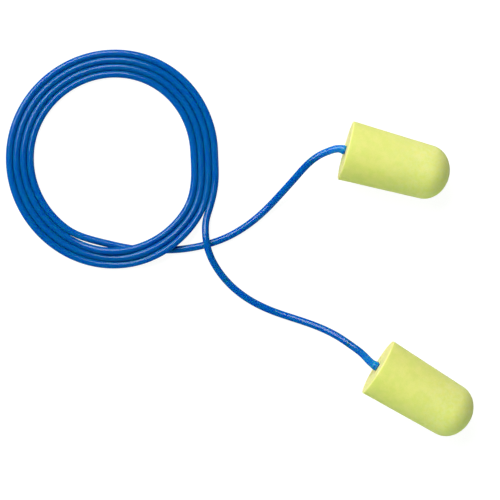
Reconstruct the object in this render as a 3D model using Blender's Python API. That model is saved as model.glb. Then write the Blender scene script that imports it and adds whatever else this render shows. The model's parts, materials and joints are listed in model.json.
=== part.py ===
"""Corded foam ear plugs: two tapered foam plugs on one vinyl cord that is wound in a flat coil.

The row stands on Z = 0. Its origin is under the middle of the two plugs, X runs from the coil
towards the plugs and Y runs from the near plug to the far one. Both plugs lie on their sides.

Each lead rises from the surface to its plug and bends in two places. The cord is one piece, and
the gaps at its bends are the joints: swing about Z, then lift about a level axis. The plug also
twists about its own axis. An empty stands on each of those axes.
"""

import math

import bmesh
import bpy
import numpy as np
from mathutils import Matrix, Vector

MM = 0.001

# Foam plug
PLUG_LENGTH = 24.0 * MM
PLUG_BASE_DIAMETER = 13.5 * MM
TAPER_ANGLE = math.radians(2.0)
NOSE_LENGTH = 5.2 * MM
BASE_EDGE_RADIUS = 0.4 * MM
BASE_INNER_RING = 3.4 * MM

# Cord
CORD_DIAMETER = 1.6 * MM
TURNS_ABREAST = 4
COIL_OUTER_RADIUS = 24.4 * MM
FLARE_WIDTH = 0.25 * MM
FLARE_LENGTH = 1.3 * MM
FLARE_LIP = 0.4 * MM
STEM_LENGTH = 8.0 * MM
GLUE_BEAD_LENGTH = 1.4 * MM

# Clearance
GAP = 0.3 * MM

# Places on the resting surface
COIL_EDGE = (-48.65 * MM, 10.35 * MM)
COIL_EDGE_ANGLE = math.radians(-44.0)
CROSSING = (-44.5 * MM, 7.9 * MM)
HUMP_REACH = 9.0 * MM
RISE_REACH = 26.0 * MM
LIFT_PIVOT_FROM_END = 3.6 * MM
SWING_PIVOT_FROM_END = 10.6 * MM
CORD_POINT_SPACING = 4.0 * MM
LINK_POINT_SPACING = 2.0 * MM

# Each side: the base centre's place, the plug's heading from +X, and the plan of its lead from
# the coil to the plug, as points (x, y) in millimetres along the cord's middle.
SIDES = {
    "far": {
        "base": (-13.5 * MM, 28.8 * MM),
        "heading": math.radians(-14.9),
        "crosses_over": False,
        "plan": [
            (-51.1, 6.6),
            (-48.0, 7.0),
            (-44.3, 7.85),
            (-40.4, 9.25),
            (-35.55, 12.05),
            (-31.3, 15.6),
            (-27.5, 19.6),
            (-24.7, 22.7),
            (-22.0, 25.65),
            (-19.2, 27.75),
            (-17.0, 28.7),
        ],
    },
    "near": {
        "base": (-6.3 * MM, -19.7 * MM),
        "heading": math.radians(-31.1),
        "crosses_over": True,
        "plan": [
            (-44.85, 12.9),
            (-44.9, 9.9),
            (-44.25, 6.3),
            (-42.35, 2.3),
            (-39.3, -1.45),
            (-35.0, -4.8),
            (-29.9, -7.3),
            (-24.6, -9.1),
            (-19.4, -10.9),
            (-14.5, -13.35),
            (-11.8, -15.2),
            (-9.5, -17.0),
        ],
    },
}

# Facets
PLUG_SEGMENTS = 48
STEM_SEGMENTS = 24
COIL_SEGMENTS = 72
EDGE_STEPS = 3
NOSE_STEPS = 9
CORD_ROUND_STEPS = 4
CORD_BEVEL_RESOLUTION = 2
BALL_ANGLES = (80.0, 55.0, 30.0, 0.0)
CURVE_SAMPLES = 12
WELD_DISTANCE = 0.001 * MM
SHARP_ANGLE = math.radians(35.0)

CORD_RADIUS = CORD_DIAMETER / 2
BASE_RADIUS = PLUG_BASE_DIAMETER / 2
FLARE_RADIUS = CORD_RADIUS + FLARE_WIDTH
COIL_INNER_RADIUS = COIL_OUTER_RADIUS - TURNS_ABREAST * CORD_DIAMETER
EXIT_HEIGHT = BASE_RADIUS * math.cos(TAPER_ANGLE)
BORE_RADIUS = CORD_RADIUS + GAP
BORE_DEPTH = STEM_LENGTH + GAP + GLUE_BEAD_LENGTH + GAP
HUMP_HEIGHT = CORD_DIAMETER + GAP

FOAM_COLOUR = (0.79, 0.80, 0.22)
CORD_COLOUR = (0.002, 0.10, 0.43)
GLUE_COLOUR = (0.70, 0.68, 0.55)


def clear_scene():
    for obj in list(bpy.data.objects):
        bpy.data.objects.remove(obj)


def make_material(name, colour, roughness):
    material = bpy.data.materials.new(name)
    material.use_nodes = True
    shader = material.node_tree.nodes["Principled BSDF"]
    shader.inputs["Base Color"].default_value = (*colour, 1.0)
    shader.inputs["Roughness"].default_value = roughness
    shader.inputs["Metallic"].default_value = 0.0
    return material


def foam_material(name):
    return make_material(name + "_foam", FOAM_COLOUR, 0.9)


def cord_material(name):
    return make_material(name + "_vinyl", CORD_COLOUR, 0.3)


def glue_material(name):
    return make_material(name + "_glue", GLUE_COLOUR, 0.35)


def arc(centre, radii, start, end, steps):
    """Points (along, out) on an ellipse's arc from one angle to the other, both ends included."""
    angles = np.linspace(start, end, steps + 1)
    return [(centre[0] + radii[0] * math.cos(a), centre[1] + radii[1] * math.sin(a)) for a in angles]


def turned_mesh(name, profile, segments, axis):
    """A mesh turned about the local axis. The profile's points are (along the axis, out from it)."""
    out_axis = Vector((1, 0, 0)) if axis.z else Vector((0, 0, -1))
    shape = bmesh.new()
    ring = [shape.verts.new(axis * along + out_axis * out) for along, out in profile]
    for first, second in zip(ring, ring[1:]):
        shape.edges.new((first, second))
    hollow_middle = profile[0][1] > 0
    if hollow_middle:
        shape.edges.new((ring[-1], ring[0]))
    bmesh.ops.spin(
        shape,
        geom=shape.verts[:] + shape.edges[:],
        cent=(0, 0, 0),
        axis=axis,
        angle=math.tau,
        steps=segments,
        use_merge=True,
    )
    bmesh.ops.remove_doubles(shape, verts=shape.verts[:], dist=WELD_DISTANCE)
    bmesh.ops.recalc_face_normals(shape, faces=shape.faces[:])
    mesh = bpy.data.meshes.new(name)
    shape.to_mesh(mesh)
    shape.free()
    mesh.shade_smooth()
    mesh.set_sharp_from_angle(angle=SHARP_ANGLE)
    return mesh


def add_turned(name, profile, segments, axis, material):
    obj = bpy.data.objects.new(name, turned_mesh(name, profile, segments, axis))
    obj.data.materials.append(material)
    bpy.context.scene.collection.objects.link(obj)
    return obj


def add_empty(name, location, rotation, parent=None):
    """An empty on a joint's axis. The location is in the row's frame, and so is the rotation."""
    empty = bpy.data.objects.new(name, None)
    empty.empty_display_size = 3 * MM
    bpy.context.scene.collection.objects.link(empty)
    world = Matrix.LocRotScale(location, rotation, None)
    empty.parent = parent
    empty.matrix_basis = parent_matrix(parent).inverted() @ world
    return empty


def parent_matrix(parent):
    """A parent's place in the row's frame, worked out up its chain of parents."""
    if parent is None:
        return Matrix.Identity(4)
    return parent_matrix(parent.parent) @ parent.matrix_basis


def add_tube(name, points, material, parent=None, ball_start=False):
    """A round cord through the points. A ball start is a half ball round the first point."""
    points = [Vector(p) for p in points]
    radii = [1.0] * len(points)
    if ball_start:
        back = (points[0] - points[1]).normalized()
        cap_angles = [math.radians(a) for a in BALL_ANGLES[:-1]]
        cap = [points[0] + back * (CORD_RADIUS * math.sin(a)) for a in cap_angles]
        points = cap + points
        radii = [math.cos(a) for a in cap_angles] + radii
    curve = bpy.data.curves.new(name, "CURVE")
    curve.dimensions = "3D"
    curve.bevel_depth = CORD_RADIUS
    curve.bevel_resolution = CORD_BEVEL_RESOLUTION
    curve.use_fill_caps = True
    spline = curve.splines.new("POLY")
    spline.points.add(len(points) - 1)
    to_local = parent_matrix(parent).inverted()
    for spline_point, place, radius in zip(spline.points, points, radii):
        spline_point.co = (*(to_local @ place), 1.0)
        spline_point.radius = radius
    curve.materials.append(material)
    obj = bpy.data.objects.new(name, curve)
    obj.parent = parent
    bpy.context.scene.collection.objects.link(obj)


def smooth_through(points):
    """A Catmull-Rom curve through the points, as many short steps."""
    points = np.array(points, float)
    before = 2 * points[0] - points[1]
    after = 2 * points[-1] - points[-2]
    padded = np.vstack([before, points, after])
    line = []
    for p0, p1, p2, p3 in zip(padded, padded[1:], padded[2:], padded[3:]):
        for t in np.linspace(0, 1, CURVE_SAMPLES, endpoint=False):
            line.append(
                0.5 * (2 * p1 + (p2 - p0) * t)
                + 0.5 * (2 * p0 - 5 * p1 + 4 * p2 - p3) * t**2
                + 0.5 * (3 * p1 - p0 - 3 * p2 + p3) * t**3
            )
    line.append(points[-1])
    return np.array(line)


def run_along(line):
    """The distance along a line at each of its points."""
    return np.concatenate([[0], np.cumsum(np.linalg.norm(np.diff(line, axis=0), axis=1))])


def stretch(line, start, end, spacing):
    """Evenly spaced points of a line from one distance along it to another."""
    along = run_along(line)
    count = max(2, round((end - start) / spacing) + 1)
    at = np.linspace(start, end, count)
    return np.stack([np.interp(at, along, line[:, k]) for k in range(3)], axis=1)


def plug_axis(side):
    """The unit vector from a plug's base to its tip. It dips by the taper's angle."""
    level = math.cos(TAPER_ANGLE)
    heading = side["heading"]
    return Vector((math.cos(heading) * level, math.sin(heading) * level, -math.sin(TAPER_ANGLE)))


def base_centre(side):
    return Vector((*side["base"], EXIT_HEIGHT))


def lead_line(side):
    """The cord's middle from the coil's edge to the back of the flare."""
    end = base_centre(side) - plug_axis(side) * FLARE_LENGTH
    plan = [(x * MM, y * MM) for x, y in side["plan"]]
    flat = smooth_through(plan + [tuple(end.xy)])
    along = run_along(flat)
    share = np.clip((along - along[-1] + RISE_REACH) / RISE_REACH, 0, 1)
    height = CORD_RADIUS + (end.z - CORD_RADIUS) * share**2 * (3 - 2 * share)
    if side["crosses_over"]:
        away = np.linalg.norm(flat - np.array(CROSSING), axis=1) / HUMP_REACH
        height += HUMP_HEIGHT * np.cos(np.clip(away, 0, 1) * math.pi / 2) ** 2
    return np.column_stack([flat, height])


def coil_profile():
    """The coil's section: the turns side by side, with round inner and outer edges."""
    middle = CORD_RADIUS
    radii = (CORD_RADIUS, CORD_RADIUS)
    outer = arc((middle, COIL_OUTER_RADIUS - CORD_RADIUS), radii, 0, math.pi, CORD_ROUND_STEPS)
    inner = arc((middle, COIL_INNER_RADIUS + CORD_RADIUS), radii, math.pi, math.tau, CORD_ROUND_STEPS)
    return outer + inner


def plug_profile():
    """Half of the plug's section, from the bottom of its bore round to its tip.

    The nose is an ellipse that the straight side touches, so the two meet with no crease.
    """
    side_slope = math.tan(TAPER_ANGLE)
    edge_out = BASE_RADIUS - BASE_EDGE_RADIUS * (side_slope + 1 / math.cos(TAPER_ANGLE))
    edge = arc(
        (BASE_EDGE_RADIUS, edge_out),
        (BASE_EDGE_RADIUS, BASE_EDGE_RADIUS),
        math.pi,
        math.pi / 2 - TAPER_ANGLE,
        EDGE_STEPS,
    )
    nose_middle = PLUG_LENGTH - NOSE_LENGTH
    side_there = BASE_RADIUS - nose_middle * side_slope
    nose_radius = math.sqrt(side_there**2 - (NOSE_LENGTH * side_slope) ** 2)
    nose_start = math.acos(NOSE_LENGTH * side_slope / side_there)
    nose = arc((nose_middle, 0), (NOSE_LENGTH, nose_radius), nose_start, 0, NOSE_STEPS)
    bore = [(BORE_DEPTH, 0), (BORE_DEPTH, BORE_RADIUS), (0, BORE_RADIUS), (0, BASE_INNER_RING)]
    tip = [(PLUG_LENGTH, 0)]
    return bore + edge + nose[:-1] + tip


def cord_end_profile():
    """The stem in the bore, and the flare that stands a lip's length off the base."""
    return [
        (-FLARE_LENGTH, 0),
        (-FLARE_LENGTH, CORD_RADIUS),
        (-FLARE_LIP - GAP, FLARE_RADIUS),
        (-GAP, FLARE_RADIUS),
        (-GAP, CORD_RADIUS),
        (STEM_LENGTH, CORD_RADIUS),
        (STEM_LENGTH, 0),
    ]


def glue_bead_profile():
    """A drop between the stem's end and the bottom of the bore."""
    start = STEM_LENGTH + GAP
    end = start + GLUE_BEAD_LENGTH
    rounded = arc((end - CORD_RADIUS, 0), (CORD_RADIUS, CORD_RADIUS), math.pi / 2, 0, EDGE_STEPS + 1)
    return [(start, 0), (start, CORD_RADIUS)] + rounded[:-1] + [(end, 0)]


def build_coil():
    """The coil keeps its edge where the two leads leave it, whatever its radius."""
    centre_x = COIL_EDGE[0] - COIL_OUTER_RADIUS * math.cos(COIL_EDGE_ANGLE)
    centre_y = COIL_EDGE[1] - COIL_OUTER_RADIUS * math.sin(COIL_EDGE_ANGLE)
    material = cord_material("cord_coil")
    coil = add_turned("cord_coil", coil_profile(), COIL_SEGMENTS, Vector((0, 0, 1)), material)
    coil.location = (centre_x, centre_y, 0)


def build_lead(name, side):
    """The lead and its two bends. It returns the empty on the lift axis, which carries the plug.

    The piece past a bend starts with a half ball round the bend's pivot, so it clears the flat end
    before it however far it turns. The last piece leans a little to the plug's axis, so it stops
    short by the width of that lean.
    """
    line = lead_line(side)
    end = run_along(line)[-1]
    lean = Vector(line[-1] - line[-2]).angle(plug_axis(side))
    swing_at = end - SWING_PIVOT_FROM_END
    lift_at = end - LIFT_PIVOT_FROM_END
    clear = CORD_RADIUS + GAP
    swing_point, lift_point = stretch(line, swing_at, lift_at, lift_at - swing_at)
    swing_axis = add_empty(name + "_swing_axis", Vector(swing_point), None)
    level_axis = Matrix.Rotation(side["heading"], 3, "Z").to_quaternion()
    lift_axis = add_empty(name + "_lift_axis", Vector(lift_point), level_axis, swing_axis)
    lead = stretch(line, 0, swing_at - clear, CORD_POINT_SPACING)
    swing_link = stretch(line, swing_at, lift_at - clear, LINK_POINT_SPACING)
    link_end = end - GAP - CORD_RADIUS * math.sin(lean)
    lift_link = stretch(line, lift_at, link_end, LINK_POINT_SPACING)
    add_tube(name + "_lead", lead, cord_material(name + "_lead"))
    add_tube(name + "_swing_link", swing_link, cord_material(name + "_swing_link"), swing_axis, True)
    add_tube(name + "_lift_link", lift_link, cord_material(name + "_lift_link"), lift_axis, True)
    return lift_axis


def build_plug(name, side, lift_axis):
    """The plug with what is glued into it, on an empty whose +X is the plug's axis."""
    dip = Matrix.Rotation(TAPER_ANGLE, 3, "Y")
    turn = Matrix.Rotation(side["heading"], 3, "Z")
    rotation = (turn @ dip).to_quaternion()
    twist_axis = add_empty(name + "_twist_axis", base_centre(side), rotation, lift_axis)
    pieces = (
        (name + "_plug", plug_profile(), PLUG_SEGMENTS, foam_material),
        (name + "_cord_end", cord_end_profile(), STEM_SEGMENTS, cord_material),
        (name + "_glue_bead", glue_bead_profile(), STEM_SEGMENTS, glue_material),
    )
    for piece, profile, segments, material in pieces:
        obj = add_turned(piece, profile, segments, Vector((1, 0, 0)), material(piece))
        obj.parent = twist_axis


def main():
    clear_scene()
    build_coil()
    for name, side in SIDES.items():
        lift_axis = build_lead(name, side)
        build_plug(name, side, lift_axis)
    bpy.context.view_layer.update()


main()
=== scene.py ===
"""Corded foam ear plugs: the looks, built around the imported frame.

The file is laid out as an add-on. Run as a script, it registers its tools and calls them in
order: the stage, the cord with its flared ends, the foam plugs and the glue.
"""

import json
import math

import bpy
import numpy as np
from bpy.props import FloatProperty, FloatVectorProperty, IntProperty, PointerProperty
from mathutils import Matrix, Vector


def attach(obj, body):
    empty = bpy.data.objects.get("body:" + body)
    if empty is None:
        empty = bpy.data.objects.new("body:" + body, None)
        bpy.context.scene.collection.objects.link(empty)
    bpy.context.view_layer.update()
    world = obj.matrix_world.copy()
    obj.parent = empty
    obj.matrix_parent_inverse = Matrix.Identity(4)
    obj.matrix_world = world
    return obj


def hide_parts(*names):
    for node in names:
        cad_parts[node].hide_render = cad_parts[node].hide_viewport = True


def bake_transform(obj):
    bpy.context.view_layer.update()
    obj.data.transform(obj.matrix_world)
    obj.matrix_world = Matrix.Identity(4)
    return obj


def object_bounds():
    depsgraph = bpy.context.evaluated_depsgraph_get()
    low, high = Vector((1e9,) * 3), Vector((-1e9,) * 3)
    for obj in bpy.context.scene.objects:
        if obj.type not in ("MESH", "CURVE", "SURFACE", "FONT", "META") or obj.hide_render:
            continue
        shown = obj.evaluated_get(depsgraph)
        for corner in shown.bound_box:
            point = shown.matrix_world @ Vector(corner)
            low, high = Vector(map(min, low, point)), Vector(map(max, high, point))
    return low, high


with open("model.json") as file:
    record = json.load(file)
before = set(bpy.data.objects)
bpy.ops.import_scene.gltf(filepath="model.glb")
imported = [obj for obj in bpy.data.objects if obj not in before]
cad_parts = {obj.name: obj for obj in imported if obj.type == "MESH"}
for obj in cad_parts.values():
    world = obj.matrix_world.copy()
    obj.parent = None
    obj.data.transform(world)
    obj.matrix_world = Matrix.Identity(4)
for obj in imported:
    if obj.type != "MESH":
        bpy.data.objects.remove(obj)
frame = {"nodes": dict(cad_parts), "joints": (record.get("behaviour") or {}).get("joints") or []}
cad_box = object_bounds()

bl_info = {
    "name": "Corded Foam Ear Plugs",
    "version": (1, 0, 0),
    "blender": (4, 5, 0),
    "location": "View3D > Sidebar > Ear Plugs",
    "description": "Models two tapered foam ear plugs on a coiled vinyl cord",
    "category": "Object",
}

MM = 0.001
SIDES = ("near", "far")
JOINTS = {joint["name"]: joint for joint in frame["joints"]}

# The plan of each lead from the coil to its plug, as points (x, y) in metres.
LEAD_PLANS = {
    "far": [
        (-0.0511, 0.0066),
        (-0.0480, 0.0070),
        (-0.0443, 0.00785),
        (-0.0404, 0.00925),
        (-0.03555, 0.01205),
        (-0.0313, 0.0156),
        (-0.0275, 0.0196),
        (-0.0247, 0.0227),
        (-0.0220, 0.02565),
        (-0.0192, 0.02775),
        (-0.0170, 0.0287),
    ],
    "near": [
        (-0.04485, 0.0129),
        (-0.0449, 0.0099),
        (-0.04425, 0.0063),
        (-0.04235, 0.0023),
        (-0.0393, -0.00145),
        (-0.0350, -0.0048),
        (-0.0299, -0.0073),
        (-0.0246, -0.0091),
        (-0.0194, -0.0109),
        (-0.0145, -0.01335),
        (-0.0118, -0.0152),
        (-0.0095, -0.0170),
    ],
}

# Where the near lead passes over the far one and how far from there its hump reaches, the length
# over which a lead rises to its plug, and the straight stretch in line with the plug.
CROSSING = Vector((-0.0445, 0.0079))
CROSSING_REACH = 9 * MM
RISE_REACH = 26 * MM
FLARE_LENGTH = 1.3 * MM

# The coil, as angles in degrees about its middle and radii in metres.
COIL_CENTRE = Vector((-0.0661, 0.02725))
NEAR_LEAD_LEAVES = ((-26, 24.7 * MM), (-13, 23.9 * MM))
FAR_LEAD_DIVES = ((256, 19.0 * MM), (269, 19.5 * MM), (282.5, 20.95 * MM), (295, 22.9 * MM))
LAST_TURN_ENDS = 245
ANGLE_STEP = 10

# Where a turn starts to move in by one pitch and over what angle it does so, and each whole turn's
# hump as its middle and its reach to either side, all in degrees.
SHIFT_FROM, SHIFT_REACH = 324, 40
HUMPS = ((299.6, 30), (291.6, 30), (280.0, 36))

# How the coil's outline departs from a circle: waves a turn, height and the angle of a crest.
COIL_WAVES = ((1, 0.15 * MM, -38), (2, 0.37 * MM, 84), (3, 0.16 * MM, 50))

# How the cord is parted into pieces from each plug's base on, and how far to either side of a
# joint the bend spreads.
NECK_LENGTH = 8.4 * MM
BEND_LENGTH = {"near": 32.0 * MM, "far": 31.2 * MM}

# How finely the cord is cut. Away from the necks only every fourth ring is kept.
RING_SPACING = 0.1 * MM
COARSE_STEP = 4
CORD_SIDES = 28
CORD_SHARP_ANGLE = math.radians(50)

# The cord's end: it swells slowly, flares, and rounds in again where it meets the foam. The shares
# are parts of the flare's width.
SWELL_REACH = 5.0 * MM
FLARE_REACH = 1.6 * MM
LIP_LENGTH = 0.3 * MM
SWELL_SHARE = 0.3
LIP_SHARE = 0.75
TINT_REACH = 9.0 * MM

# The stretch glued into the bore, with its cut end's rounding as a share of the cord's radius.
STEM_LENGTH = 8.0 * MM
STEM_CLEARANCE = 0.02 * MM
STEM_CUTS = 12
STEM_END_ROUNDING = 0.25

# How finely a plug is cut, and how loosely its bore takes the cord.
PLUG_SIDES = 96
NOSE_RINGS = 13
SIDE_CUTS = 40
RIM_SEGMENTS = 4
BASE_RINGS = 8
BORE_CLEARANCE = 0.03 * MM
FOAM_SHARP_ANGLE = math.radians(60)

# Slight unevenness of soft foam, as each texture's name, the size of its swells and their height.
FOAM_SWELLS = (("foam_swell", 4.0 * MM, 0.08 * MM), ("foam_grain", 0.7 * MM, 0.03 * MM))

# How deep the materials' fine relief is at full strength.
RELIEF_DEPTH = 0.08 * MM

# A point this close to a height is on it, and a face is level from this height of its unit normal.
TOUCH = 0.001 * MM
LEVEL = 0.9

# The stage: the floor's side, how much of its light the camera sees as an even glow, how dark it
# is in reflections, how pale the camera sees what lies beyond it, and the slight green that pale
# yellow foam throws back into its own shade.
FLOOR_SIZE = 12.0
FLOOR_GLOW = 1.15
FLOOR_GLOW_SHARE = 0.8
FLOOR_IN_GLOSS = (0.05, 0.05, 0.05)
BACKDROP_TONE = 0.94
FILL_TINT = (0.78, 1.0, 0.76)
SURROUND_TINT = (0.88, 1.0, 0.86, 1.0)


class CordSettings(bpy.types.PropertyGroup):
    diameter: FloatProperty(
        name="Diameter",
        description="Thickness of the vinyl cord",
        default=0.0016,
        min=0.0005,
        unit="LENGTH",
    )
    coil_radius: FloatProperty(
        name="Coil radius",
        description="Radius of the coil's outermost turn, at the cord's middle",
        default=0.02365,
        min=0.005,
        unit="LENGTH",
    )
    turns: IntProperty(
        name="Turns",
        description="Whole turns wound before the last one dives under the others",
        default=3,
        min=1,
        max=3,
    )
    pitch: FloatProperty(
        name="Turn spacing",
        description="Distance between neighbouring turns, middle to middle",
        default=0.001585,
        min=0.0005,
        unit="LENGTH",
    )
    flare_width: FloatProperty(
        name="Flare width",
        description="How far the flared end stands out from the cord all round",
        default=0.00025,
        min=0.0,
        unit="LENGTH",
    )
    colour: FloatVectorProperty(
        name="Vinyl colour",
        description="Blue of the cord",
        default=(0.001, 0.113, 0.385),
        subtype="COLOR",
        min=0.0,
        max=1.0,
    )
    end_colour: FloatVectorProperty(
        name="End colour",
        description="Paler blue of the cord where it is stretched over into its flare",
        default=(0.015, 0.23, 0.60),
        subtype="COLOR",
        min=0.0,
        max=1.0,
    )


class FoamSettings(bpy.types.PropertyGroup):
    length: FloatProperty(
        name="Length",
        description="Length of a plug from its flat base to its tip",
        default=0.024,
        min=0.01,
        unit="LENGTH",
    )
    base_diameter: FloatProperty(
        name="Base diameter",
        description="Diameter of a plug at its flat base",
        default=0.0135,
        min=0.005,
        unit="LENGTH",
    )
    taper: FloatProperty(
        name="Taper",
        description="Angle of a plug's side to its axis",
        default=math.radians(2.0),
        subtype="ANGLE",
        unit="ROTATION",
    )
    nose_length: FloatProperty(
        name="Nose length",
        description="Length of the rounded nose",
        default=0.0052,
        min=0.001,
        unit="LENGTH",
    )
    edge_radius: FloatProperty(
        name="Base edge radius",
        description="Rounding of the rim of the base",
        default=0.00025,
        min=0.0001,
        unit="LENGTH",
    )
    bore_depth: FloatProperty(
        name="Bore depth",
        description="Depth of the hole that the cord is glued into",
        default=0.010,
        min=0.002,
        unit="LENGTH",
    )
    colour: FloatVectorProperty(
        name="Foam colour",
        description="Yellow-green of the foam",
        default=(0.785, 0.775, 0.22),
        subtype="COLOR",
        min=0.0,
        max=1.0,
    )
    # Paler specks towards the nose: partly dust, partly a painted sheen of the foam's skin.
    dust_and_sheen_colour: FloatVectorProperty(
        name="Dust colour",
        description="Paler tone in fine specks towards the nose",
        default=(0.77, 0.80, 0.37),
        subtype="COLOR",
        min=0.0,
        max=1.0,
    )
    # Painted light: a paler cream on the flat base, standing in for the key light that falls on its
    # face.
    painted_lit_base_colour: FloatVectorProperty(
        name="Cut colour",
        description="Creamier tone of the flat cut base",
        default=(0.87, 0.80, 0.30),
        subtype="COLOR",
        min=0.0,
        max=1.0,
    )
    # Greener, darker tone: the foam's random blotches, and painted shade in its pores.
    blotch_and_pore_shade_colour: FloatVectorProperty(
        name="Pore colour",
        description="Greener tone in the foam's pores and blotches",
        default=(0.60, 0.71, 0.11),
        subtype="COLOR",
        min=0.0,
        max=1.0,
    )


class StageSettings(bpy.types.PropertyGroup):
    camera_height: FloatProperty(
        name="Camera height",
        description="Height of the camera above the floor",
        default=0.5,
        min=0.1,
        unit="LENGTH",
    )
    view_width: FloatProperty(
        name="View width",
        description="Width of the floor that the camera takes in",
        default=0.1135,
        min=0.02,
        unit="LENGTH",
    )
    aim: FloatVectorProperty(
        name="Aim",
        description="Where the camera looks, from the middle of the object's box",
        default=(0.00282, -0.00175),
        size=2,
        subtype="TRANSLATION",
        unit="LENGTH",
    )
    floor_colour: FloatVectorProperty(
        name="Floor colour",
        description="Pale tone of the floor",
        default=(0.9, 0.9, 0.9),
        subtype="COLOR",
        min=0.0,
        max=1.0,
    )
    key_power: FloatProperty(
        name="Key light",
        description="Power of the long soft light at the back left",
        default=19.0,
        min=0.0,
        unit="POWER",
    )
    fill_power: FloatProperty(
        name="Fill light",
        description="Power of the weak soft light at the front",
        default=5.2,
        min=0.0,
        unit="POWER",
    )
    surround: FloatProperty(
        name="Surround",
        description="Strength of the even light from all round",
        default=0.12,
        min=0.0,
    )


# Shader nodes


def new_group(name, inputs, outputs):
    """A shader node group with these sockets. It returns the tree, its input and its output."""
    tree = bpy.data.node_groups.new(name, "ShaderNodeTree")
    for socket_name, kind, default in inputs:
        socket = tree.interface.new_socket(socket_name, in_out="INPUT", socket_type=kind)
        if default is not None:
            socket.default_value = default
    for socket_name, kind in outputs:
        tree.interface.new_socket(socket_name, in_out="OUTPUT", socket_type=kind)
    return tree, tree.nodes.new("NodeGroupInput"), tree.nodes.new("NodeGroupOutput")


def add_node(tree, kind, inputs=None, **settings):
    """A node with its settings. An input is a value, or the socket that feeds it."""
    node = tree.nodes.new(kind)
    for key, value in settings.items():
        setattr(node, key, value)
    for key, value in (inputs or {}).items():
        if isinstance(value, bpy.types.NodeSocket):
            tree.links.new(value, node.inputs[key])
        else:
            node.inputs[key].default_value = value
    return node


def remap(tree, value, low, high, first=0.0, last=1.0, kind="LINEAR"):
    """The value taken from low..high to first..last, and held at the ends."""
    node = add_node(
        tree,
        "ShaderNodeMapRange",
        {"Value": value, "From Min": low, "From Max": high, "To Min": first, "To Max": last},
        interpolation_type=kind,
    )
    return node.outputs["Result"]


def multiply(tree, first, second):
    """The product of two values, each a number or the socket that feeds it."""
    return add_node(tree, "ShaderNodeMath", {0: first, 1: second}, operation="MULTIPLY").outputs[0]


def mix_colours(tree, share, first, second):
    """The first colour with a share of the second, each a colour or the socket that feeds it."""
    first, second = (c if isinstance(c, bpy.types.NodeSocket) else (*c, 1.0) for c in (first, second))
    return add_node(tree, "ShaderNodeMix", {0: share, 6: first, 7: second}, data_type="RGBA").outputs[2]


def mottle_group():
    """Soft blotches of a second colour, for any surface that isn't quite even."""
    inputs = (
        ("Vector", "NodeSocketVector", None),
        ("Color", "NodeSocketColor", None),
        ("Blotch Color", "NodeSocketColor", None),
        ("Scale", "NodeSocketFloat", 1000.0),
        ("Amount", "NodeSocketFloat", 0.5),
    )
    outputs = (("Color", "NodeSocketColor"), ("Mask", "NodeSocketFloat"))
    tree, start, end = new_group("Mottle", inputs, outputs)
    noise = add_node(
        tree,
        "ShaderNodeTexNoise",
        {
            "Vector": start.outputs["Vector"],
            "Scale": start.outputs["Scale"],
            "Detail": 3.0,
            "Roughness": 0.6,
        },
    )
    mask = remap(tree, noise.outputs["Fac"], 0.32, 0.68, kind="SMOOTHSTEP")
    share = multiply(tree, mask, start.outputs["Amount"])
    colour = mix_colours(tree, share, start.outputs["Color"], start.outputs["Blotch Color"])
    tree.links.new(colour, end.inputs["Color"])
    tree.links.new(mask, end.inputs["Mask"])
    return tree


def pores_group():
    """Round pits of a cellular surface, with a finer grain over them."""
    inputs = (
        ("Vector", "NodeSocketVector", None),
        ("Scale", "NodeSocketFloat", 4000.0),
        ("Depth", "NodeSocketFloat", 0.5),
    )
    outputs = (("Height", "NodeSocketFloat"), ("Mask", "NodeSocketFloat"))
    tree, start, end = new_group("Pores", inputs, outputs)
    cells = add_node(
        tree,
        "ShaderNodeTexVoronoi",
        {"Vector": start.outputs["Vector"], "Scale": start.outputs["Scale"]},
    )
    out_of_pit = remap(tree, cells.outputs["Distance"], 0.05, 0.45, kind="SMOOTHSTEP")
    grain = add_node(
        tree,
        "ShaderNodeTexNoise",
        {
            "Vector": start.outputs["Vector"],
            "Scale": multiply(tree, start.outputs["Scale"], 1.7),
            "Detail": 2.0,
            "Roughness": 0.65,
        },
    )
    both = add_node(
        tree,
        "ShaderNodeMix",
        {0: 0.5, 2: out_of_pit, 3: grain.outputs["Fac"]},
        data_type="FLOAT",
    )
    height = multiply(tree, both.outputs[0], start.outputs["Depth"])
    in_pit = add_node(tree, "ShaderNodeMath", {0: 1.0, 1: out_of_pit}, operation="SUBTRACT")
    tree.links.new(height, end.inputs["Height"])
    tree.links.new(in_pit.outputs[0], end.inputs["Mask"])
    return tree


def group(name):
    """The shader node group of that name, built the first time it is asked for."""
    makers = {"Mottle": mottle_group, "Pores": pores_group}
    return bpy.data.node_groups.get(name) or makers[name]()


def place_group(tree, name, inputs):
    """A placed copy of that group, with its inputs fed as in add_node."""
    return add_node(tree, "ShaderNodeGroup", inputs, node_tree=group(name))


def new_material(name, constants):
    """A material whose Principled shader has these constant sockets."""
    material = bpy.data.materials.new(name)
    material.use_nodes = True
    tree = material.node_tree
    shader = tree.nodes["Principled BSDF"]
    for key, value in constants.items():
        shader.inputs[key].default_value = value
    place = add_node(tree, "ShaderNodeTexCoord").outputs["Object"]
    return material, tree, shader, place


def mesh_value(tree, name):
    """The socket of a value that the mesh holds at its points."""
    return add_node(tree, "ShaderNodeAttribute", attribute_name=name).outputs["Fac"]


def add_relief(tree, shader, height, strength):
    """Fine relief in the shader's normals."""
    bump = add_node(
        tree, "ShaderNodeBump", {"Height": height, "Strength": strength, "Distance": RELIEF_DEPTH}
    )
    tree.links.new(bump.outputs["Normal"], shader.inputs["Normal"])


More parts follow.
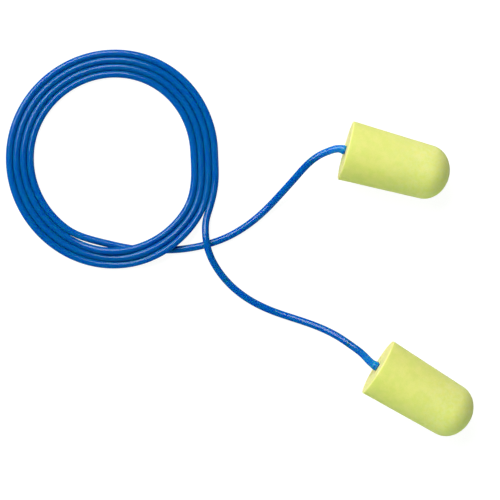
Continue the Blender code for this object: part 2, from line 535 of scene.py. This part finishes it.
def foam_material():
    foam = bpy.context.scene.foam_plugs
    material, tree, shader, place = new_material(
        "slow_recovery_foam",
        {
            "Roughness": 0.6,
            "Specular IOR Level": 0.72,
            "Sheen Weight": 0.08,
            "Sheen Roughness": 0.5,
            "Sheen Tint": (0.7, 1.0, 0.4, 1.0),
            "Subsurface Weight": 0.6,
            "Subsurface Radius": (0.8, 1.0, 0.4),
            "Subsurface Scale": 1.5 * MM,
        },
    )
    toward_tip = mesh_value(tree, "toward_tip")
    blotches = place_group(
        tree,
        "Mottle",
        {
            "Vector": place,
            "Color": (*foam.colour, 1.0),
            "Blotch Color": (*foam.blotch_and_pore_shade_colour, 1.0),
            "Scale": 520.0,
            "Amount": 0.35,
        },
    )
    # Paler specks towards the nose, partly dust and partly painted sheen.
    dust_and_sheen = place_group(
        tree,
        "Mottle",
        {
            "Vector": place,
            "Color": blotches.outputs["Color"],
            "Blotch Color": (*foam.dust_and_sheen_colour, 1.0),
            "Scale": 1300.0,
            "Amount": remap(tree, toward_tip, 0.2, 0.8, last=0.5, kind="SMOOTHSTEP"),
        },
    )
    pores = place_group(tree, "Pores", {"Vector": place, "Scale": 4200.0, "Depth": 1.0})
    # Painted shade: the pits of the pores are tinted towards the darker green.
    pore_shade_share = multiply(tree, pores.outputs["Mask"], 0.35)
    with_pore_shade = mix_colours(tree, pore_shade_share, dust_and_sheen.outputs["Color"], foam.blotch_and_pore_shade_colour)
    # Painted light: the flat base is painted paler, as the key light falls on it.
    on_base = remap(tree, toward_tip, 0.004, 0.014, first=0.8, last=0.0)
    with_lit_base = mix_colours(tree, on_base, with_pore_shade, foam.painted_lit_base_colour)
    tree.links.new(with_lit_base, shader.inputs["Base Color"])
    add_relief(tree, shader, pores.outputs["Height"], 0.35)
    return material


def vinyl_material():
    cord = bpy.context.scene.ear_plug_cord
    material, tree, shader, place = new_material(
        "glossy_vinyl",
        {
            "Specular IOR Level": 0.33,
            "Subsurface Weight": 1.0,
            "Subsurface Radius": (0.02, 0.15, 1.0),
            "Subsurface Scale": 3.0 * MM,
        },
    )
    blotches = place_group(
        tree,
        "Mottle",
        {
            "Vector": place,
            "Color": mix_colours(tree, mesh_value(tree, "end_tint"), cord.colour, cord.end_colour),
            "Blotch Color": (*(0.82 * c for c in cord.colour), 1.0),
            "Scale": 900.0,
            "Amount": 0.25,
        },
    )
    ripple = place_group(tree, "Pores", {"Vector": place, "Scale": 400.0, "Depth": 1.0})
    roughness = remap(tree, blotches.outputs["Mask"], 0.0, 1.0, first=0.1, last=0.15)
    tree.links.new(blotches.outputs["Color"], shader.inputs["Base Color"])
    tree.links.new(roughness, shader.inputs["Roughness"])
    add_relief(tree, shader, ripple.outputs["Height"], 0.02)
    return material


def glue_material():
    material, tree, shader, place = new_material(
        "set_adhesive",
        {"Subsurface Weight": 0.3, "Subsurface Scale": 0.5 * MM},
    )
    blotches = place_group(
        tree,
        "Mottle",
        {
            "Vector": place,
            "Color": (0.72, 0.69, 0.55, 1.0),
            "Blotch Color": (0.58, 0.54, 0.38, 1.0),
            "Scale": 1800.0,
            "Amount": 0.6,
        },
    )
    roughness = remap(tree, blotches.outputs["Mask"], 0.0, 1.0, first=0.25, last=0.45)
    tree.links.new(blotches.outputs["Color"], shader.inputs["Base Color"])
    tree.links.new(roughness, shader.inputs["Roughness"])
    return material


# The cord


def joint_point(name):
    return Vector(JOINTS[name]["pos_m"])


def plug_axis(side):
    """The unit vector from a plug's base to its tip, which is its twist joint's axis."""
    return Vector(JOINTS[side + "_twist"]["axis"]).normalized()


def polar(angle, radius, height):
    turn = math.radians(angle)
    return (
        COIL_CENTRE.x + radius * math.cos(turn),
        COIL_CENTRE.y + radius * math.sin(turn),
        height,
    )


def ease(share):
    """A smooth step from 0 to 1."""
    share = np.clip(share, 0, 1)
    return share * share * (3 - 2 * share)


def coil_points(cord):
    """The whole turns and the part turn inside them.

    A turn keeps its place until the lead lies outside it, and then moves in by one pitch. Each
    whole turn rises in a long low hump over the end of the innermost one.
    """
    points = []
    for angle in range(0, cord.turns * 360 + LAST_TURN_ENDS + 1, ANGLE_STEP):
        turn, rest = divmod(angle, 360)
        moves = (angle - 360 * done - SHIFT_FROM for done in range(cord.turns))
        inwards = sum(ease(past / SHIFT_REACH) for past in moves)
        waves = (high * math.cos(math.radians(n * (angle - crest))) for n, high, crest in COIL_WAVES)
        outline = cord.coil_radius + sum(waves)
        height = cord.diameter / 2
        if turn < cord.turns:
            middle, reach = HUMPS[turn]
            away = min(1.0, abs(rest - middle) / reach)
            height += cord.diameter * math.cos(away * math.pi / 2) ** 2
        points.append(polar(angle, outline - cord.pitch * inwards, height))
    return points


def lead_points(side, cord):
    """A lead's route, from the coil to the plug's base, lying on the floor."""
    base = joint_point(side + "_twist")
    flare = base - plug_axis(side) * FLARE_LENGTH
    return [(x, y, cord.diameter / 2) for x, y in (*LEAD_PLANS[side], flare.xy, base.xy)]


def spline_through(points, spacing):
    """A natural cubic spline through the points, as a line of close points."""
    points = np.array(points, float)
    knots = np.concatenate([[0], np.cumsum(np.linalg.norm(np.diff(points, axis=0), axis=1))])
    step = np.diff(knots)
    count = len(points)
    matrix, right = np.eye(count), np.zeros((count, 3))
    slope = np.diff(points, axis=0) / step[:, None]
    for i in range(1, count - 1):
        matrix[i, i - 1 : i + 2] = step[i - 1], 2 * (step[i - 1] + step[i]), step[i]
        right[i] = 6 * (slope[i] - slope[i - 1])
    bend = np.linalg.solve(matrix, right)
    at = np.linspace(0, knots[-1], math.ceil(knots[-1] / spacing))
    i = np.clip(np.searchsorted(knots, at, side="right") - 1, 0, count - 2)
    before = (at - knots[i])[:, None]
    after = (knots[i + 1] - at)[:, None]
    width = step[i][:, None]
    curved = (bend[i] * after**3 + bend[i + 1] * before**3) / (6 * width)
    straight = (points[i] / width - bend[i] * width / 6) * after
    straight += (points[i + 1] / width - bend[i + 1] * width / 6) * before
    return curved + straight


def distances(line):
    return np.concatenate([[0], np.cumsum(np.linalg.norm(np.diff(line, axis=0), axis=1))])


def cord_line(cord):
    """The middle of the whole cord, from the near plug's base to the far plug's."""
    flat = cord.diameter / 2
    near, far = (lead_points(side, cord) for side in SIDES)
    leaves = [polar(angle, radius, flat) for angle, radius in NEAR_LEAD_LEAVES]
    dives = [polar(angle, radius, flat) for angle, radius in FAR_LEAD_DIVES]
    line = spline_through(near[::-1] + leaves + coil_points(cord) + dives + far, RING_SPACING)
    along = distances(line)
    exit_rise = joint_point("near_twist").z - flat
    for from_plug in (along, along[-1] - along):
        line[:, 2] += exit_rise * ease(1 - (from_plug - FLARE_LENGTH) / RISE_REACH)
    away = np.linalg.norm(line[:, :2] - np.array(CROSSING), axis=1) / CROSSING_REACH
    hump = cord.diameter * np.cos(np.clip(away, 0, 1) * math.pi / 2) ** 2
    line[:, 2] += np.where(along < along[-1] / 2, hump, 0)
    along = distances(line)
    steps = round(along[-1] / RING_SPACING / COARSE_STEP) * COARSE_STEP
    at = np.linspace(0, along[-1], steps + 1)
    return np.stack([np.interp(at, along, line[:, k]) for k in range(3)], axis=1)


def cord_radii(cord, from_base):
    """The cord's radius at these distances from the nearer plug's base."""
    swell = SWELL_SHARE * ease(1 - from_base / SWELL_REACH)
    flare = (1 - SWELL_SHARE) * ease(1 - (from_base - LIP_LENGTH) / (FLARE_REACH - LIP_LENGTH))
    in_lip = np.clip(1 - from_base / LIP_LENGTH, 0, 1)
    lip = LIP_SHARE * (1 - np.sqrt(1 - in_lip**2))
    return cord.diameter / 2 + cord.flare_width * (swell + flare - lip)


def cord_rings(line, radii):
    """Rings of points round the line, turned as little as possible from one to the next."""
    tangents = np.gradient(line, axis=0)
    tangents /= np.linalg.norm(tangents, axis=1)[:, None]
    angles = np.linspace(0, math.tau, CORD_SIDES, endpoint=False)
    rings, side = [], np.array([0.0, 0.0, 1.0])
    for centre, tangent, radius in zip(line, tangents, radii):
        side = side - tangent * (side @ tangent)
        side /= np.linalg.norm(side)
        other = np.cross(tangent, side)
        around = np.outer(np.cos(angles), side) + np.outer(np.sin(angles), other)
        rings.append(centre + radius * around)
    return np.array(rings)


def add_cord_piece(name, rings, end_tint, material):
    """A closed tube over these rings, with a value at each ring for the paler ends."""
    count = len(rings)
    faces = []
    for ring in range(count - 1):
        for side in range(CORD_SIDES):
            a, b = ring * CORD_SIDES + side, ring * CORD_SIDES + (side + 1) % CORD_SIDES
            faces.append((a, b, b + CORD_SIDES, a + CORD_SIDES))
    faces.append(tuple(reversed(range(CORD_SIDES))))
    faces.append(tuple(range((count - 1) * CORD_SIDES, count * CORD_SIDES)))
    mesh = bpy.data.meshes.new(name)
    mesh.from_pydata(rings.reshape(-1, 3).tolist(), [], faces)
    attribute = mesh.attributes.new("end_tint", "FLOAT", "POINT")
    attribute.data.foreach_set("value", np.repeat(end_tint, CORD_SIDES).astype(np.float32))
    mesh.materials.append(material)
    mesh.shade_smooth()
    mesh.set_sharp_from_angle(angle=CORD_SHARP_ANGLE)
    obj = bpy.data.objects.new(name, mesh)
    bpy.context.scene.collection.objects.link(obj)
    return obj


def build_cord(material):
    """The cord as one line of rings, parted into a neck and a bend at each end and the wound middle,
    with a stem in each bore; the stems ride on the plugs and the wound middle on the cord.
    """
    cord = bpy.context.scene.ear_plug_cord
    line = cord_line(cord)
    last = len(line) - 1
    along = distances(line)
    from_base = np.minimum(along, along[-1] - along)
    rings = cord_rings(line, cord_radii(cord, from_base))
    tint = ease(1 - from_base / TINT_REACH)

    def ring_at(side, distance):
        ring = round(distance / RING_SPACING / COARSE_STEP) * COARSE_STEP
        return ring if side == "near" else last - ring

    def piece(name, first, second, step):
        first, second = sorted((first, second))
        part = slice(first, second + 1, step)
        return add_cord_piece(name, rings[part], tint[part], material), line[part]

    seams = {}
    for side in SIDES:
        base, neck_end = ring_at(side, 0), ring_at(side, NECK_LENGTH)
        seams[side] = ring_at(side, NECK_LENGTH + BEND_LENGTH[side])
        neck, _ = piece(side + "_cord_neck", base, neck_end, 1)
        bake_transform(neck)
        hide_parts(side + "_lift_link")
        bend, path = piece(side + "_cord_bend", neck_end, seams[side], COARSE_STEP)
        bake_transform(bend)
        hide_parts(side + "_lead", side + "_swing_link")
        stem = build_stem(side, cord, material)
    wound, path = piece("wound_cord", seams["near"], seams["far"], COARSE_STEP)
    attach(wound, "cord")
    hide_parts("cord_coil")


# Modelling in edit mode


def deselect_all():
    if bpy.context.object and bpy.context.object.mode != "OBJECT":
        bpy.ops.object.mode_set(mode="OBJECT")
    bpy.ops.object.select_all(action="DESELECT")


def clear_selection(kind):
    """Sets edit mode to select faces or edges, with none selected, and leaves it."""
    bpy.ops.object.mode_set(mode="EDIT")
    bpy.ops.mesh.select_mode(type=kind)
    bpy.ops.mesh.select_all(action="DESELECT")
    bpy.ops.object.mode_set(mode="OBJECT")


def select_faces(obj, test):
    """Selects the faces that pass the test, with the object in edit mode afterwards."""
    clear_selection("FACE")
    for face in obj.data.polygons:
        face.select = test(face)
    bpy.ops.object.mode_set(mode="EDIT")


def select_edges(obj, test):
    """Selects the edges whose two ends pass the test, with the object in edit mode afterwards."""
    clear_selection("EDGE")
    verts = obj.data.vertices
    for edge in obj.data.edges:
        edge.select = test(*(verts[i].co for i in edge.vertices))
    bpy.ops.object.mode_set(mode="EDIT")


def top_face(obj):
    """A test for the flat face at the object's highest point."""
    top = max(v.co.z for v in obj.data.vertices)
    return lambda face: face.normal.z > LEVEL and abs(face.center.z - top) < TOUCH


def grow_top(radius, rings):
    """Extrudes the selected round face up through rings of (rise, radius)."""
    for rise, next_radius in rings:
        bpy.ops.mesh.extrude_region_move(TRANSFORM_OT_translate={"value": (0, 0, rise)})
        share = next_radius / radius
        bpy.ops.transform.resize(value=(share, share, 1))
        radius = next_radius


def add_round(name, sides, radius, depth):
    """A cylinder that stands on the origin, with its place in its mesh."""
    deselect_all()
    bpy.ops.mesh.primitive_cylinder_add(
        vertices=sides, radius=radius, depth=depth, end_fill_type="NGON", location=(0, 0, depth / 2)
    )
    obj = bpy.context.object
    obj.name = name
    obj.data.name = name
    bpy.ops.object.transform_apply(location=True, rotation=True, scale=True)
    return obj


def lay_along(obj, base, axis):
    """Turns the object's +Z onto the axis and moves it to the base, with its place in its mesh."""
    bpy.ops.object.mode_set(mode="OBJECT")
    obj.rotation_mode = "QUATERNION"
    obj.rotation_quaternion = axis.to_track_quat("Z", "Y")
    obj.location = base
    bpy.ops.object.transform_apply(location=True, rotation=True, scale=True)
    obj.rotation_mode = "XYZ"


def apply_modifier(obj, kind, **settings):
    modifier = obj.modifiers.new(kind.lower(), kind)
    for key, value in settings.items():
        setattr(modifier, key, value)
    bpy.ops.object.modifier_apply(modifier=modifier.name)


def build_stem(side, cord, material):
    """The cord's last stretch, glued into the bore, with the edge of its cut end rounded."""
    radius = cord.diameter / 2
    obj = add_round(side + "_cord_stem", CORD_SIDES, radius, STEM_LENGTH - STEM_CLEARANCE)
    select_faces(obj, top_face(obj))
    bpy.ops.mesh.bevel(offset=STEM_END_ROUNDING * radius, segments=3, profile=0.5)
    select_edges(obj, lambda a, b: abs(a.z - b.z) > 0.9 * STEM_LENGTH)
    bpy.ops.mesh.subdivide(number_cuts=STEM_CUTS)
    bpy.ops.object.mode_set(mode="OBJECT")
    tint = obj.data.attributes.new("end_tint", "FLOAT", "POINT")
    tint.data.foreach_set("value", np.ones(len(obj.data.vertices), np.float32))
    bpy.ops.object.shade_smooth_by_angle(angle=CORD_SHARP_ANGLE)
    axis = plug_axis(side)
    lay_along(obj, joint_point(side + "_twist") + axis * STEM_CLEARANCE, axis)
    obj.data.materials.append(material)
    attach(obj, side + "_plug")
    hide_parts(side + "_cord_end")
    return obj


# The foam plugs


def raise_nose(obj, foam):
    """Narrows the top by the taper, rounds the nose above it and closes the tip."""
    radius = foam.base_diameter / 2
    slope = math.tan(foam.taper)
    side_there = radius - (foam.length - foam.nose_length) * slope
    select_faces(obj, top_face(obj))
    bpy.ops.transform.resize(value=(side_there / radius, side_there / radius, 1))
    nose_radius = math.sqrt(side_there**2 - (foam.nose_length * slope) ** 2)
    angles = np.linspace(math.pi / 2, 0, NOSE_RINGS + 2)[1:-1]
    heights = [foam.nose_length * math.cos(a) for a in angles]
    nose = [(h - g, nose_radius * math.sin(a)) for h, g, a in zip(heights, [0] + heights, angles)]
    grow_top(side_there, nose)
    bpy.ops.mesh.poke()
    bpy.ops.object.mode_set(mode="OBJECT")
    tip = min(obj.data.vertices, key=lambda vert: vert.co.xy.length)
    tip.co.z = foam.length


def round_rim(obj, foam):
    """Cuts the side into rings and rounds the rim of the base."""
    high = 0.9 * (foam.length - foam.nose_length)
    select_edges(obj, lambda a, b: min(a.z, b.z) < TOUCH and max(a.z, b.z) > high)
    bpy.ops.mesh.subdivide(number_cuts=SIDE_CUTS)
    select_edges(obj, lambda a, b: max(a.z, b.z) < TOUCH)
    bpy.ops.mesh.bevel(offset=foam.edge_radius, segments=RIM_SEGMENTS, profile=0.5)
    bpy.ops.object.mode_set(mode="OBJECT")


def sink_bore(obj, foam, bore_radius):
    """Insets the flat base in rings as far as the bore, and sinks the bore."""
    select_faces(obj, lambda face: face.normal.z < -LEVEL and len(face.vertices) > 4)
    face_radius = foam.base_diameter / 2 - foam.edge_radius
    for _ in range(BASE_RINGS):
        bpy.ops.mesh.inset(thickness=(face_radius - bore_radius) / BASE_RINGS, use_even_offset=True)
    bpy.ops.mesh.extrude_region_move(TRANSFORM_OT_translate={"value": (0, 0, foam.bore_depth)})
    bpy.ops.object.mode_set(mode="OBJECT")


def soften(obj):
    """Slight unevenness of soft foam: long shallow swells and short low ones."""
    for name, size, strength in FOAM_SWELLS:
        texture = bpy.data.textures.get(name) or bpy.data.textures.new(name, "CLOUDS")
        texture.noise_scale = size
        texture.noise_depth = 1
        apply_modifier(
            obj,
            "DISPLACE",
            texture=texture,
            texture_coords="LOCAL",
            strength=strength,
            mid_level=0.5,
        )


def build_foam_plug(side, material):
    """A tapered plug: a straight side, a rounded nose, and a flat cut base with the cord's bore."""
    foam = bpy.context.scene.foam_plugs
    cord = bpy.context.scene.ear_plug_cord
    straight = foam.length - foam.nose_length
    obj = add_round(side + "_foam_plug", PLUG_SIDES, foam.base_diameter / 2, straight)
    raise_nose(obj, foam)
    round_rim(obj, foam)
    sink_bore(obj, foam, cord.diameter / 2 + BORE_CLEARANCE)
    apply_modifier(obj, "SUBSURF", levels=1, render_levels=1)
    soften(obj)
    bpy.ops.object.shade_smooth_by_angle(angle=FOAM_SHARP_ANGLE)
    along = obj.data.attributes.new("toward_tip", "FLOAT", "POINT")
    along.data.foreach_set("value", [vert.co.z / foam.length for vert in obj.data.vertices])
    lay_along(obj, joint_point(side + "_twist"), plug_axis(side))
    obj.data.materials.append(material)
    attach(obj, side + "_plug")
    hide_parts(side + "_plug")


# The tools


class EARPLUGS_OT_stage(bpy.types.Operator):
    """Add the camera, the pale floor and the soft lights"""

    bl_idname = "ear_plugs.stage"
    bl_label = "Stage"

    def execute(self, context):
        stage = context.scene.ear_plug_stage
        add_camera(stage)
        add_floor(stage)
        add_lights(stage)
        return {"FINISHED"}


def add_camera(stage):
    """The camera looks straight down, with +Y up."""
    low, high = cad_box
    aim = (low.xy + high.xy) / 2 + Vector(stage.aim)
    deselect_all()
    bpy.ops.object.camera_add(location=(*aim, stage.camera_height), rotation=(0, 0, 0))
    camera = bpy.context.object
    camera.name = "camera_above"
    camera.data.sensor_width = 36.0
    camera.data.lens = camera.data.sensor_width * stage.camera_height / stage.view_width
    camera.data.clip_start = 0.01
    bpy.context.scene.camera = camera


def add_floor(stage):
    """A pale floor. Its shadows are kept light for the camera, as on a back-lit table."""
    deselect_all()
    bpy.ops.mesh.primitive_plane_add(size=FLOOR_SIZE, location=(0, 0, 0))
    floor = bpy.context.object
    floor.name = "pale_floor"
    material = bpy.data.materials.new("pale_floor")
    material.use_nodes = True
    tree = material.node_tree
    tree.nodes.remove(tree.nodes["Principled BSDF"])
    rays = add_node(tree, "ShaderNodeLightPath")
    tone = mix_colours(tree, rays.outputs["Is Glossy Ray"], stage.floor_colour, FLOOR_IN_GLOSS)
    diffuse = add_node(tree, "ShaderNodeBsdfDiffuse", {"Color": tone})
    glow = add_node(tree, "ShaderNodeEmission", {"Color": (1, 1, 1, 1), "Strength": FLOOR_GLOW})
    share = multiply(tree, rays.outputs["Is Camera Ray"], FLOOR_GLOW_SHARE)
    mix = add_node(
        tree,
        "ShaderNodeMixShader",
        {0: share, 1: diffuse.outputs[0], 2: glow.outputs[0]},
    )
    tree.links.new(mix.outputs[0], tree.nodes["Material Output"].inputs["Surface"])
    floor.data.materials.append(material)


def add_soft_light(name, place, size, power):
    """A rectangular light that faces the object, with its long side level."""
    low, high = cad_box
    target = (low + high) / 2
    place = target + Vector(place)
    deselect_all()
    bpy.ops.object.light_add(type="AREA", location=place)
    light = bpy.context.object
    light.name = name
    light.rotation_euler = (target - place).to_track_quat("-Z", "Y").to_euler()
    light.data.shape = "RECTANGLE"
    light.data.size, light.data.size_y = size
    light.data.energy = power
    return light


def add_lights(stage):
    """A long soft light from the back left, a weak one in front and an even surround."""
    add_soft_light("key_light", place=(-0.43, 0.62, 0.87), size=(1.15, 0.75), power=stage.key_power)
    fill = add_soft_light("fill_light", place=(0.1, -1.0, 0.45), size=(1.0, 0.5), power=stage.fill_power)
    fill.data.color = FILL_TINT
    fill.visible_glossy = False
    world = bpy.data.worlds.new("surround")
    world.use_nodes = True
    tree = world.node_tree
    background = tree.nodes["Background"]
    background.inputs["Color"].default_value = SURROUND_TINT
    rays = add_node(tree, "ShaderNodeLightPath")
    strength = remap(
        tree, rays.outputs["Is Camera Ray"], 0.0, 1.0, first=stage.surround, last=BACKDROP_TONE
    )
    tree.links.new(strength, background.inputs["Strength"])
    world.cycles_visibility.glossy = False
    bpy.context.scene.world = world
    bpy.context.scene.view_settings.view_transform = "Standard"


class EARPLUGS_OT_cord(bpy.types.Operator):
    """Wind the vinyl cord, and add its bends, necks and flared ends"""

    bl_idname = "ear_plugs.cord"
    bl_label = "Cord"

    def execute(self, context):
        build_cord(vinyl_material())
        return {"FINISHED"}


class EARPLUGS_OT_foam(bpy.types.Operator):
    """Model the two tapered foam plugs"""

    bl_idname = "ear_plugs.foam"
    bl_label = "Foam Plugs"

    def execute(self, context):
        material = foam_material()
        for side in SIDES:
            build_foam_plug(side, material)
        return {"FINISHED"}


class EARPLUGS_OT_glue(bpy.types.Operator):
    """Give the glue beads in the bores their finish"""

    bl_idname = "ear_plugs.glue"
    bl_label = "Glue"

    def execute(self, context):
        material = glue_material()
        for side in SIDES:
            bead = frame["nodes"][side + "_glue_bead"]
            bead.data.materials.clear()
            bead.data.materials.append(material)
        return {"FINISHED"}


class EARPLUGS_PT_tools(bpy.types.Panel):
    """Lists the tools and the sizes they read"""

    bl_idname = "EARPLUGS_PT_tools"
    bl_label = "Foam Ear Plugs"
    bl_space_type = "VIEW_3D"
    bl_region_type = "UI"
    bl_category = "Ear Plugs"

    def draw(self, context):
        layout = self.layout
        for operator in OPERATORS:
            layout.operator(operator.bl_idname)
        for settings in SETTINGS:
            box = layout.box()
            group_of = getattr(context.scene, settings)
            for key in group_of.bl_rna.properties.keys():
                if key not in ("rna_type", "name"):
                    box.prop(group_of, key)


SETTINGS = {
    "ear_plug_stage": StageSettings,
    "ear_plug_cord": CordSettings,
    "foam_plugs": FoamSettings,
}
OPERATORS = (EARPLUGS_OT_stage, EARPLUGS_OT_cord, EARPLUGS_OT_foam, EARPLUGS_OT_glue)


def register():
    for cls in (*SETTINGS.values(), *OPERATORS, EARPLUGS_PT_tools):
        bpy.utils.register_class(cls)
    for name, cls in SETTINGS.items():
        setattr(bpy.types.Scene, name, PointerProperty(type=cls))


def unregister():
    for name in SETTINGS:
        delattr(bpy.types.Scene, name)
    for cls in (EARPLUGS_PT_tools, *reversed(OPERATORS), *SETTINGS.values()):
        bpy.utils.unregister_class(cls)


def main():
    register()
    bpy.ops.ear_plugs.stage()
    bpy.ops.ear_plugs.cord()
    bpy.ops.ear_plugs.foam()
    bpy.ops.ear_plugs.glue()


if __name__ == "__main__":
    main()
